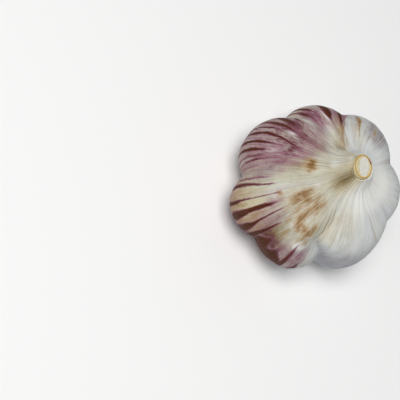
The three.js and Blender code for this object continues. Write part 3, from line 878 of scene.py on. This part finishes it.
def make_plate():
    """The corky disc under the bulb: a flat spot to rest on, a cone and a rim."""
    profile = [(0, 0), (1.2, 0), (2.4, 0), (REST_RADIUS, 0), (3.9, 0.12), (4.3, 0.5)]
    profile += [(4.3 + 3.4 * t, 0.5 + 1.0 * t) for t in np.linspace(0.08, 1, 14)]
    profile += [(8.0, 1.9), (PLATE_RADIUS, 2.4), (8.1, 3.2), (8.0, PLATE_HEIGHT), (0, PLATE_HEIGHT)]
    plate = lathe("root_plate_cork", profile, SMALL_TURN_STEPS)
    rows, azimuth = rows_of(plate, profile)
    profile = np.array(profile)
    radius, height = profile[rows, 0], profile[rows, 1]
    open_cork = rise(REST_RADIUS, 4.6, radius) * (height < 3.0)
    radius = radius * (1 - 0.015 * (1 + np.sin(np.radians(PLATE_FOLDS * azimuth))))
    bumps = 0.12 * ring_noise(61, 70, azimuth + radius * 40) + 0.1 * np.sin(radius * 7)
    place_round(plate, radius, height + open_cork * bumps, azimuth)
    return plate


def make_stub():
    """One trimmed root, standing on its cut end at the origin."""
    bpy.ops.object.select_all(action="DESELECT")
    bpy.ops.mesh.primitive_cylinder_add(vertices=8, radius=STUB_RADIUS * MM, depth=STUB_LENGTH * MM,
                                        location=(0, 0, STUB_LENGTH / 2 * MM))
    stub = bpy.context.active_object
    bpy.ops.object.transform_apply(location=True, rotation=True, scale=True)
    bpy.ops.object.mode_set(mode="EDIT")
    for third in (1, 2):
        bpy.ops.mesh.select_all(action="SELECT")
        bpy.ops.mesh.bisect(plane_co=(0, 0, third * STUB_LENGTH / 3 * MM), plane_no=(0, 0, 1))
    bpy.ops.object.mode_set(mode="OBJECT")
    bevel = stub.modifiers.new("rounded", "BEVEL")
    bevel.width = 0.05 * MM
    bevel.segments = 1
    bevel.limit_method = "ANGLE"
    apply_modifiers(stub)
    bpy.ops.object.shade_smooth_by_angle(angle=radians(50))
    return stub


def make_stubs():
    """Trimmed roots spread evenly over a ring of the root plate, curling outwards as they go down."""
    model = make_stub()
    shape = points_of(model)
    length = STUB_LENGTH * MM
    inner, outer = (radius ** 2 for radius in STUB_RING)
    draw = np.random.default_rng(7)
    copies = []
    for number in range(STUB_COUNT):
        share = (number + 0.5) / STUB_COUNT
        radius = (inner + (outer - inner) * share) ** 0.5 * MM
        azimuth = radians(number * STUB_TURN + draw.uniform(-6, 6))
        size, cut = draw.uniform(0.55, 1.25), draw.uniform(0.03, 0.75) * MM
        lean, swirl = draw.uniform(0.1, 0.5), draw.uniform(-0.25, 0.25)
        copy = model.copy()
        copy.data = model.data.copy()
        scene.collection.objects.link(copy)
        out = np.array((cos(azimuth), sin(azimuth), 0))
        side = np.array((-sin(azimuth), cos(azimuth), 0))
        points = shape * (size, size, 1)
        down = (length - shape[:, 2:3]) / length
        points = points + out * (radius + (down ** 2) * lean * MM) + side * (down ** 2 * swirl * 2 * MM)
        points[:, 2] = np.maximum(points[:, 2] * STUB_SHORTENING + cut, STUB_GAP * MM)
        set_points(copy, points)
        copies.append(copy)
    bpy.data.objects.remove(model)
    bpy.ops.object.select_all(action="DESELECT")
    for copy in copies:
        copy.select_set(True)
    bpy.context.view_layer.objects.active = copies[0]
    bpy.ops.object.join()
    stubs = bpy.context.active_object
    stubs.name = stubs.data.name = "root_stubs"
    return stubs


# ---- put together ----

def dress(piece, material, slot, *nodes):
    """Gives a piece its material and its place in the frame, and the solids that it stands for."""
    piece.data.materials.clear()
    piece.data.materials.append(material)
    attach(piece, "root")
    if nodes:
        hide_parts(*nodes)


skin, skin_share, skin_azimuth = make_skin()
paint_marks(skin, skin_share, skin_azimuth)
dress(skin, skin_finish(), "skin", "bulb")
dress(make_stalk(), stalk_finish(), "stalk", "stalk")
dress(make_plate(), root_finish("root_cork", CORK_LIGHT, CORK_DARK), "roots", "root_plate")
dress(make_stubs(), root_finish("root_stub", STUB_LIGHT, STUB_DARK), "roots")


# ---- floor and light ----

FLOOR_SIZE = 6                   # metres
ROOM_COLOUR = (0.93, 0.95, 1.0, 1.0)
ROOM_STRENGTH = 0.2


def add_floor():
    """A wide pale floor, which is there for the view only."""
    bpy.ops.object.select_all(action="DESELECT")
    bpy.ops.mesh.primitive_plane_add(size=FLOOR_SIZE, location=(0, 0, 0))
    floor = bpy.context.active_object
    floor.name = "floor"
    finish = Finish("pale_floor", 0.9)
    floor.data.materials.append(finish.use(FLOOR_WHITE))


def add_lamp(name, right, top, back, size, power, colour):
    """A soft square lamp, placed by its metres to the view's right, to its top and towards the camera."""
    light = bpy.data.lights.new(name, "AREA")
    light.size, light.energy, light.color = size, power, colour
    lamp = bpy.data.objects.new(name, light)
    lamp.location = BULB_MIDDLE + VIEW_RIGHT * right + VIEW_TOP * top + VIEW_BACK * back
    lamp.rotation_euler = (lamp.location - BULB_MIDDLE).to_track_quat("Z", "Y").to_euler()
    scene.collection.objects.link(lamp)


add_floor()
add_lamp("key", right=0.11, top=0.17, back=0.9, size=0.4, power=6.95, colour=(1.0, 0.99, 0.97))
add_lamp("fill", right=-0.5, top=0.0, back=0.7, size=0.6, power=0.6, colour=(0.95, 0.97, 1.0))
world = bpy.data.worlds.new("room")
world.use_nodes = True
room = world.node_tree.nodes["Background"]
room.inputs["Color"].default_value = ROOM_COLOUR
room.inputs["Strength"].default_value = ROOM_STRENGTH
scene.world = world
scene.view_settings.view_transform = "Standard"
